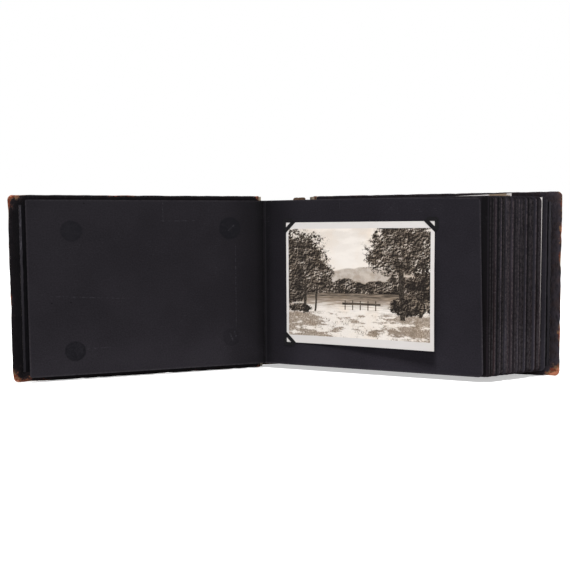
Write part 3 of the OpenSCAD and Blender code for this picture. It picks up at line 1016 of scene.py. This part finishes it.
def makePrintSheet(name, width, height, columns, rows):
    sheet = addGrid(name, 0, width, height, columns, rows)
    unwrapFlat(sheet)
    setMaterials(sheet, None, None)
    applyModifier(sheet, "SOLIDIFY", thickness=printSettings["thickness"], offset=0,
                  material_offset=1, material_offset_rim=1)
    return sheet


def finishPrint(sheet, face, matrix, body, node):
    setMaterials(sheet, face, printBackMaterial)
    sheet.data.transform(matrix)
    shadeSmooth(sheet)
    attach(sheet, body)
    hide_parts(node)


def makeMountedPrint():  # its free corner, lower right, curls up from the page
    s = mountedSettings
    width, height = printSettings["width"], printSettings["height"]
    sheet = makePrintSheet("mounted_print_sheet", width, height, *printSettings["mountedGrid"])
    points = readPoints(sheet.data)
    free = np.clip(points[:, 0] / width - points[:, 2] / height, 0, 1)
    points[:, 0] += s["inset"] + s["slide"] * free ** 2
    points[:, 1] -= s["stand"] + s["curl"] * free ** s["power"]
    points[:, 2] += s["foot"] + leafSettings["foot"]
    writePoints(sheet.data, points)
    matrix = jointMatrix("first_leaf_strip_fold")
    finishPrint(sheet, printMaterials["mounted"], matrix, "open_leaf", "mounted_print")
    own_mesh(sheet)


def looseMatrix(group):  # halfway between the last leaf of a group and the next one
    place = middles[group - 1] + leafStep
    turn = openings[group - 1] + openStep * 1.5
    spacing = leafStep.length * math.cos(math.radians(turn))
    middle = leafSettings["thickness"] + (spacing - leafSettings["thickness"]) / 2
    return foldMatrix(place, turn) @ Matrix.Translation((0, middle, leafSettings["foot"]))


def makeLoosePrint(name, place, pivot):  # place is where the pivot, a corner of the print, comes
    s = looseSettings[name]
    width, height = printSettings["width"], printSettings["height"]
    sheet = makePrintSheet(f"{name}_print_sheet", height, width, *printSettings["looseGrid"])
    layer = sheet.data.uv_layers["UVMap"]
    flatUv = np.zeros(len(layer.data) * 2, np.float32)
    layer.data.foreach_get("uv", flatUv)
    flatUv = flatUv.reshape(-1, 2)
    layer.data.foreach_set("uv", np.stack([flatUv[:, 1], height - flatUv[:, 0]], axis=1).ravel())
    turned = Matrix.Rotation(math.radians(s["lean"]), 4, "Y") @ Matrix.Translation((-pivot[0], 0, -pivot[1]))
    sheet.data.transform(Matrix.Translation((place[0], 0, place[1])) @ turned)
    points = readPoints(sheet.data)
    points[:, 1] += leafWave(np.minimum(points[:, 0], leafSettings["width"]), points[:, 2], s["after"] + 0.5)
    writePoints(sheet.data, points)
    finishPrint(sheet, printMaterials[name], looseMatrix(s["group"]), f"{name}_print", f"{name}_loose_print")


def makeLoosePrints():
    top, side = looseSettings["top"], looseSettings["side"]
    topPlace = (leafSettings["width"] - top["inset"], leafSettings["height"] + top["rise"])
    sidePlace = (leafSettings["width"] + side["stand"] - printSettings["height"], side["foot"])
    makeLoosePrint("top", topPlace, (printSettings["height"], printSettings["width"]))
    makeLoosePrint("side", sidePlace, (0, 0))


makeMountedPrint()
makeLoosePrints()
print("prints placed")


# covers
coverSettings = {
    "start": 0.0018, "end": 0.20412, "height": 0.148, "outer": -0.00025, "thickness": 0.00265,
    "corner": 0.0066, "cornerSegments": 6, "leather": 0.0005, "columns": 46, "rows": 34,
    "turnIn": 0.008, "turnInSteps": (0.0012, 0.0038, 0.0062, 0.008), "turnInPress": 0.00008,
    "turnInShare": 0.3, "turnInBand": 0.0004, "sharp": 60, "edgeRound": 0.0007, "edgeSegments": 3,
    "dent": 0.0009, "dentScale": 170, "dentsBeyond": (0.0995, 0.0732),  # how far from the middle they start
    "dentSeeds": {"front": 9.0, "back": 4.0},
    "cornerWear": 0.0066, "edgeWear": 0.0012, "edgeLevel": 0.46, "innerWear": 0.003, "spotWear": 0.004,
    "faceSpared": (0.15, 0.0013),  # how much less the faces wear than the edges, and how far in
    "outsideReach": 0.0012,
    "cornerLevels": {"front": (0.85, 1.4), "back": (0.85, 1.7)},  # head, tail
    "scuffs": {"front": (0.12, 0.003, 0.2), "back": (0.9, 0.0065, 0.5)},  # scuffing and a painted sheen: at the fore-edge, reach, at head and tail
    "spots": {  # along the cover, height, reach, strength
        "front": [
            (0.204, 0.136, 0.006, 0.5), (0.204, 0.062, 0.011, 0.42), (0.196, 0.148, 0.009, 0.35),
            (0.201, 0.146, 0.004, 0.4), (0.19, 0.0, 0.012, 0.5), (0.12, 0.148, 0.02, 0.2), (0.07, 0.0, 0.018, 0.25),
        ],
        "back": [
            (0.204, 0.116, 0.007, 0.62), (0.204, 0.094, 0.006, 0.6), (0.204, 0.034, 0.009, 0.62),
            (0.204, 0.06, 0.02, 0.25), (0.2, 0.003, 0.007, 0.8), (0.204, 0.14, 0.012, 0.35),
        ],
    },
}


def moveTurnIn(place, inset):  # where a point of the turned-in leather lies once it is inset from the edge
    s = coverSettings
    low = place.z < s["height"] / 2
    middle = Vector((s["end"] - s["corner"], place.y, s["corner"] if low else s["height"] - s["corner"]))
    away = place - middle
    if away.x > 0 and away.z * (middle.z - s["height"] / 2) > 0:  # on the rounded corner
        place = middle + away.normalized() * max(s["corner"] - inset, 0)
    place.x = min(place.x, s["end"] - inset)
    place.z = min(max(place.z, inset), s["height"] - inset)
    if inset == s["turnIn"]:
        place.y -= s["turnInPress"]
    return place


def dentEdges(points, wear, side):
    s = coverSettings
    dents = noiseAt(points, s["dentScale"], s["dentSeeds"][side])
    inward = np.array([(s["start"] + s["end"]) / 2, 0, s["height"] / 2]) - points
    for axis, beyond in zip((0, 2), s["dentsBeyond"]):
        inward[:, axis] = np.sign(inward[:, axis]) * (np.abs(inward[:, axis]) > beyond)
    inward[:, 1] = 0
    return points + inward * (np.maximum(dents, -0.2) + 0.25)[:, None] * wear[:, None] * s["dent"]


def makeCoverSkin(name, side, sign):  # sign is -1 for the back cover, which mirrors the front one
    s = coverSettings
    skin = addGrid(name, s["start"], s["end"], s["height"], s["columns"], s["rows"])
    skin.data.transform(Matrix.Translation((0, s["outer"], 0)))
    setMode("EDIT")
    pick(skin, lambda v: v.co.x > s["end"] - tiny and (v.co.z < tiny or v.co.z > s["height"] - tiny))
    bpy.ops.mesh.bevel(offset=s["corner"], segments=s["cornerSegments"], affect="VERTICES")
    pick(skin, lambda e: e.is_boundary and not all(v.co.x < s["start"] + tiny for v in e.verts), "EDGE")
    bpy.ops.mesh.extrude_region_move(TRANSFORM_OT_translate={"value": (0, s["thickness"], 0)})
    for inset in s["turnInSteps"]:
        bpy.ops.mesh.extrude_region_move(TRANSFORM_OT_translate={"value": (0, 0, 0)})
        shape = bmesh.from_edit_mesh(skin.data)
        for vertex in shape.verts:
            if vertex.select:
                vertex.co = moveTurnIn(vertex.co.copy(), inset)
        bmesh.update_edit_mesh(skin.data)
    bpy.ops.mesh.select_all(action="SELECT")
    bpy.ops.mesh.remove_doubles(threshold=2 * tiny)
    bpy.ops.mesh.select_all(action="DESELECT")
    bpy.ops.mesh.select_mode(type="EDGE")
    bpy.ops.mesh.edges_select_sharp(sharpness=math.radians(s["sharp"]))
    bpy.ops.mesh.bevel(offset=s["edgeRound"], segments=s["edgeSegments"], affect="EDGES")
    setMode("OBJECT")
    points = readPoints(skin.data)
    writeCoverWear(skin.data, points, side)
    wear = np.zeros(len(points), np.float32)
    skin.data.attributes["wear"].data.foreach_get("value", wear)
    points = dentEdges(points, wear, side)
    points[:, 1] *= sign
    writePoints(skin.data, points)
    turnNormals(skin, lambda faces: max(faces, key=lambda face: face.area).normal.y * sign > 0)
    inner = readPoints(skin.data)[:, 1] * sign > s["outer"] + s["thickness"] - s["turnInBand"]
    depth = skin.vertex_groups.new(name="leatherDepth")
    depth.add(np.where(~inner)[0].tolist(), 1.0, "REPLACE")
    depth.add(np.where(inner)[0].tolist(), s["turnInShare"], "REPLACE")
    setMaterials(skin, coverLeather, fleshMaterial)
    applyModifier(skin, "SOLIDIFY", thickness=s["leather"], offset=-1, vertex_group="leatherDepth", material_offset=1)
    return skin


def writeCoverWear(mesh, points, side):  # 1 at the corners of the fore-edge, less along the edges
    s = coverSettings
    x, y, z = points[:, 0], points[:, 1], points[:, 2]
    fromFore = s["end"] - x
    fromEnd = np.minimum(z, s["height"] - z)
    fromFace = np.minimum(y - s["outer"], s["outer"] + s["thickness"] - y)
    fromRim = np.minimum(fromFore, fromEnd)
    head, tail = s["cornerLevels"][side]
    corner = fading(np.hypot(fromFore, fromEnd), s["cornerWear"]) * np.where(z > s["height"] / 2, head, tail)
    edge = fading(fromRim, s["edgeWear"]) * s["edgeLevel"]
    inner = fading(np.hypot(x - s["start"], fromEnd), s["innerWear"])
    spared, depth = s["faceSpared"]
    wear = np.maximum(np.maximum(corner, edge), inner) * (1 - spared * np.clip(fromFace / depth, 0, 1))
    for spotX, spotZ, reach, strength in s["spots"][side]:
        spot = np.exp(-((x - spotX) ** 2 + (z - spotZ) ** 2) / reach ** 2)
        wear += strength * spot * fading(fromRim, s["spotWear"])
    writeMask(mesh, "wear", np.clip(wear, 0, 1.3))
    # real scuffing with a painted sheen, strongest at the back cover's fore-edge
    strength, reach, atEnds = s["scuffs"][side]
    writeMask(mesh, "scuffAndSheen", np.minimum(strength * fading(fromFore, reach) + atEnds * fading(fromEnd, reach), 1))
    # outside marks the outer face, which is painted lighter as painted light
    writeMask(mesh, "outside", smooth(1.6 - (y - s["outer"]) / s["outsideReach"]))


for side, sign in (("front", 1), ("back", -1)):
    skin = makeCoverSkin(f"{side}_cover_skin", side, sign)
    skin.data.transform(jointMatrix(f"{side}_joint_fold"))
    shadeSmooth(skin, 40)
    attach(skin, f"{side}_cover")
    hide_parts(f"{side}_cover_leather")
print("covers made")


# leather joints
jointSettings = {
    "gap": 0.0005, "meet": 0.0007, "end": 0.00182, "leather": 0.0005, "wear": (0.9, 0.004),  # wear's level, reach
    "rows": 26, "foldSteps": 9, "swingSteps": 7,
}


def makeJointStrip(name, path, matrix):  # sweeps a narrow strip of leather along points in the cover's frame
    strip = addGrid(name, 0, 1, coverSettings["height"], len(path) - 1, jointSettings["rows"])
    points = readPoints(strip.data)
    step = np.round(points[:, 0] * (len(path) - 1)).astype(int)
    lengths = np.concatenate([[0], np.cumsum(np.linalg.norm(np.diff(path, axis=0), axis=1))])
    flat = points.copy()
    flat[:, 0] = lengths[step]
    writePoints(strip.data, flat)
    unwrapFlat(strip)
    points[:, 0], points[:, 1] = path[step, 0], path[step, 1]
    writePoints(strip.data, points)
    level, reach = jointSettings["wear"]
    fromEnd = np.minimum(points[:, 2], coverSettings["height"] - points[:, 2])
    writeMask(strip.data, "wear", level * fading(fromEnd, reach))
    setMaterials(strip, jointLeather, jointLeather)
    applyModifier(strip, "SOLIDIFY", thickness=jointSettings["leather"], offset=0)
    strip.data.transform(matrix)
    shadeSmooth(strip, 50)
    return strip


def makeJoint(side):
    s = jointSettings
    meet, end = s["meet"], s["end"]
    joint = f"{side}_joint"
    matrix = jointMatrix(f"{joint}_fold")
    angle = math.radians(90 - turnFromClosed(f"{joint}_fold"))
    near = np.array([-math.sin(angle), math.cos(angle)]) * s["gap"]
    share = np.linspace(0, 1, s["foldSteps"])[:, None]
    foldPath = (1 - share) ** 2 * near + share ** 2 * np.array([meet, 0])
    swingPath = np.stack([np.linspace(meet, end, s["swingSteps"]), np.zeros(s["swingSteps"])], axis=1)
    inner = makeJointStrip(f"{joint}_inner", foldPath, matrix)
    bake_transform(inner)
    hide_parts(f"{joint}_leather")
    outer = makeJointStrip(f"{joint}_outer", swingPath, matrix)
    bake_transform(outer)


makeJoint("front")
makeJoint("back")


# spine leather with its torn head
spineSettings = {
    "halfWidth": 0.024865, "depth": 0.01019, "bend": 0.00125, "height": 0.148, "leather": 0.0005,
    "columns": 96, "rows": 60, "tearFrom": 0.112,
    "tear": [  # place across the spine, height left standing
        (-0.027, 0.131), (-0.022, 0.133), (-0.016, 0.127), (-0.012, 0.135), (-0.006, 0.138), (-0.001, 0.133),
        (0.004, 0.14), (0.0074, 0.1435), (0.0081, 0.1469), (0.0135, 0.1473), (0.0186, 0.1470), (0.0194, 0.1435),
        (0.021, 0.139), (0.0235, 0.141), (0.027, 0.138),
    ],
    "ragged": ((900, 3.1, 0.0011), (260, 7.7, 0.0014)),  # the torn line's noise: scale, row, height
    "standing": 0.1465,  # above this the piece that is left has a calmer line
    "whole": (0.0055, 0.0012),  # how far round the bend the head is kept, and over what length it begins
    "edgeWear": (0.95, 0.0016), "foldWear": (0.5, 0.0011),  # level, reach
    "dent": (42, 0.000072), "headLift": (0.128, 0.02, 0.00016),  # scale and depth; from where, over how far, how much
}


def makeSpineLeather():
    s = spineSettings
    flat = s["halfWidth"] - s["bend"]
    flank = s["depth"] - s["bend"]
    arc = math.pi / 2 * s["bend"]
    total = 2 * (flat + flank + arc)
    skin = addGrid("spine_skin", 0, total, s["height"], s["columns"], s["rows"])
    points = readPoints(skin.data)
    run = points[:, 0] - total / 2  # along the leather, from the middle of the spine
    away = np.abs(run)
    onArc = np.clip((away - flat) / s["bend"], 0, math.pi / 2)
    across = np.sign(run) * (np.minimum(away, flat) + s["bend"] * np.sin(onArc))
    depth = s["bend"] * (1 - np.cos(onArc)) + np.maximum(away - flat - arc, 0)
    heights = np.interp(across, *zip(*s["tear"]))
    ragged = np.array([
        sum(noise.noise(Vector((place * scale, row, 0))) * swing for scale, row, swing in s["ragged"])
        for place in run
    ])
    torn = np.minimum(heights + np.where(heights < s["standing"], ragged, ragged * 0.25), s["height"])
    since, reach = s["whole"]
    whole = smooth((depth - since) / reach)  # the leather over the narrow boards kept its head
    torn = torn * (1 - whole) + s["height"] * whole
    share = np.clip((points[:, 2] - s["tearFrom"]) / (s["height"] - s["tearFrom"]), 0, 1)
    pulled = s["tearFrom"] + share * (torn - s["tearFrom"])
    height = np.where(points[:, 2] > s["tearFrom"], pulled, points[:, 2])
    unwrapFlat(skin)

    def wearBy(key, off):
        level, reach = s[key]
        return level * fading(off, reach)

    atEdges = wearBy("edgeWear", np.minimum(torn - height, height))
    atFolds = wearBy("foldWear", np.abs(away - flat - arc / 2))
    writeMask(skin.data, "wear", np.maximum(atEdges, atFolds))
    # the spine's outer face is painted lighter as painted light
    writeMask(skin.data, "outside", np.ones(len(points)))
    scale, depthOfDents = s["dent"]
    dent = noiseAt(np.stack([run, height, height * 0], axis=1), scale, 1.0) * depthOfDents
    since, reach, rise = s["headLift"]
    lift = smooth((height - since) / reach) * rise * (1 - whole)
    points[:, 0] = across
    points[:, 1] = -depth + np.where(away < flat, dent - lift, 0)
    points[:, 2] = height
    writePoints(skin.data, points)
    middle = Vector((0, 0, 0.05))
    turnNormals(skin, lambda faces: min(faces, key=lambda face: (face.center - middle).length).normal.y < 0)
    setMaterials(skin, coverLeather, fleshMaterial)
    applyModifier(skin, "SOLIDIFY", thickness=s["leather"], offset=0, material_offset=1, material_offset_rim=1)
    skin.data.transform(Matrix.Rotation(spineTurn, 4, "Z"))
    shadeSmooth(skin, 45)
    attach(skin, "binding")
    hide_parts("spine_leather")


makeSpineLeather()
print("spine made")


# camera, floor and light
cameraSettings = {
    "place": (-0.00006, -0.7063, 0.12045), "down": 4.07, "roll": -0.42, "focal": 800 / 570 * 36, "sensor": 36,
}


def makeCamera():
    data = bpy.data.cameras.new("camera")
    data.sensor_width = cameraSettings["sensor"]
    data.lens = cameraSettings["focal"]
    camera = addObject("camera", data)
    camera.matrix_world = (
        Matrix.Translation(cameraSettings["place"])
        @ Matrix.Rotation(math.radians(90 - cameraSettings["down"]), 4, "X")
        @ Matrix.Rotation(math.radians(cameraSettings["roll"]), 4, "Z")
    )
    bpy.context.scene.camera = camera


studioSettings = {
    "floor": 120, "floorHeight": -0.0002, "albedo": (0.74, 0.74, 0.74, 1), "nearGlow": 0.5, "farGlow": 0.95,
    "world": 0.16, "white": (1, 1, 1, 1), "lampSize": 0.4, "target": (0, 0, 0.06),
    "lamps": {  # place and power
        "keyLamp": ((-0.14, -0.85, 1.55), 37),
        "fillLamp": ((1.1, -1.2, 0.8), 1.0),
        "rearLamp": ((0.25, 1.3, 1.2), 40),
    },
}


def seenRays(tree):  # 1 where the camera, a gloss or a clear piece looks, 0 for the light that falls on pieces
    rays = addNode(tree, "LightPath")
    return largest([rays[f"Is {kind} Ray"] for kind in ("Camera", "Glossy", "Transmission")])


def makeFloor():
    s = studioSettings
    clearSelection()
    bpy.ops.mesh.primitive_plane_add(size=s["floor"], location=(0, 0, s["floorHeight"]))
    floor = bpy.context.object
    floor.name = "floor"
    material, tree, _ = newMaterial("paleFloor", Base_Color=s["albedo"], Roughness=0.9, Specular_IOR_Level=0.1)
    away = vectorMath("LENGTH", objectPlace(tree), {}, "Value")
    level = between(away, 0.3, 1.6, s["nearGlow"], s["farGlow"])
    glow = addNode(tree, "Emission", {"Color": s["white"], "Strength": seenRays(tree) * level})
    total = addNode(tree, "AddShader", {0: Outputs(tree.nodes["Principled BSDF"])[0], 1: glow[0]})
    feed(tree.nodes["Material Output"].inputs, {"Surface": total[0]})
    floor.data.materials.append(material)


def addSoftLamp(name, place, power):
    data = bpy.data.lights.new(name, "AREA")
    data.shape = "SQUARE"
    data.size = studioSettings["lampSize"]
    data.energy = power
    lamp = addObject(name, data)
    lamp.location = place
    lamp.rotation_mode = "QUATERNION"
    lamp.rotation_quaternion = (Vector(studioSettings["target"]) - Vector(place)).to_track_quat("-Z", "Y")


def makeLight():
    for name, (place, power) in studioSettings["lamps"].items():
        addSoftLamp(name, place, power)
    world = bpy.data.worlds.new("studio")
    bpy.context.scene.world = world
    world.use_nodes = True
    strength = mixValue(seenRays(world.node_tree), studioSettings["world"], 1.0)
    background = world.node_tree.nodes["Background"].inputs
    feed(background, {"Color": studioSettings["white"], "Strength": strength})


makeCamera()
makeFloor()
makeLight()
bpy.context.scene.view_settings.view_transform = "Standard"

print("scene ready")
